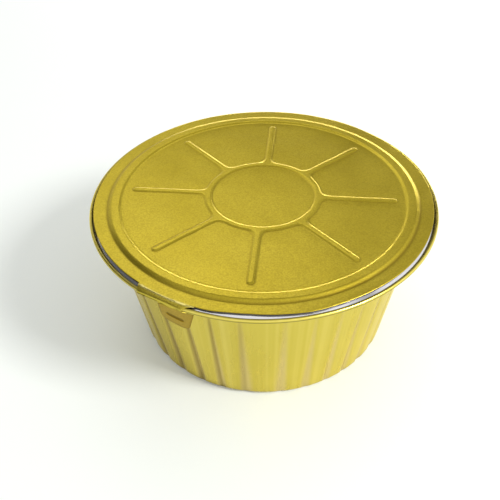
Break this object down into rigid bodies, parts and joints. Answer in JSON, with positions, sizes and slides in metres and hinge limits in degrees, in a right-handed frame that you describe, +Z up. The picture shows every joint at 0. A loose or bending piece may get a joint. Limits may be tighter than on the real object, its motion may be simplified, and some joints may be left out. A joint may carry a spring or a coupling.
{
  "type": "foil food container",
  "caption": "Round gold-lacquered foil food container with a fluted wall, a rolled rim and an embossed foil lid held by a folded tab.",
  "frame": {"origin": "centre of the flat base, on the surface that the container stands on", "axes": "+Z up through the lid along the axis of the cup; -Y is the side seen in front, with the lid's folded tab at its left"},
  "size_m": [0.13, 0.13, 0.0567],
  "materials": {
    "cup_foil": "gold lacquer outside, bare silver inside, satin",
    "lid_foil": "gold lacquer, matt with a fine grain"
  },
  "bodies": {
    "root": {"container": "cup_foil", "lid": "lid_foil"}
  },
  "joints": []
}
